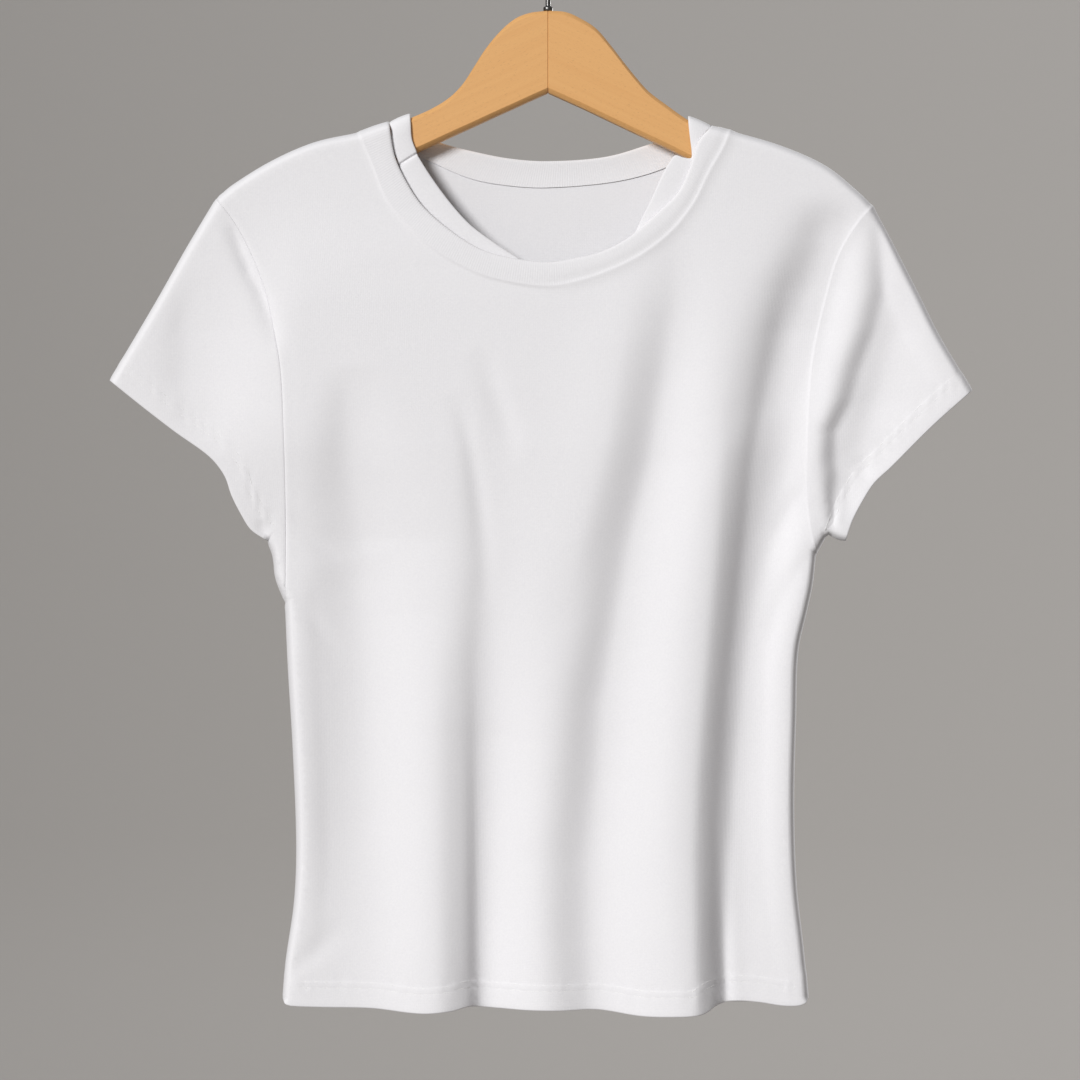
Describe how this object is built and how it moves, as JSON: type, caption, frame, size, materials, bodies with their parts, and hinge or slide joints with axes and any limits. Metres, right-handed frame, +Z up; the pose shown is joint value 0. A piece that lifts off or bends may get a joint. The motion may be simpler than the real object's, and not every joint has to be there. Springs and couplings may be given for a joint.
{
  "type": "crew neck t-shirt on a hanger",
  "caption": "Plain white short-sleeved crew neck T-shirt with a ribbed neck band, hanging flat on a wooden hanger with a wire hook.",
  "frame": {"origin": "inner crown of the hook, where it rests on a rail", "axes": "+Z up along the shirt's length, front of the shirt towards -Y, wearer's right towards -X"},
  "size_m": [0.5793, 0.0514, 0.7343],
  "materials": {
    "jersey": "matt single jersey",
    "rib": "matt 1x1 rib",
    "wood": "satin lacquer",
    "wire": "dark plated"
  },
  "bodies": {
    "root": {"front_panel": "jersey", "back_panel": "jersey", "sleeve_right": "jersey", "sleeve_left": "jersey", "neck_band": "rib", "neck_facing_right": "jersey", "neck_facing_left": "jersey", "hanger_right": "wood", "hanger_left": "wood", "hook": "wire"}
  },
  "joints": []
}
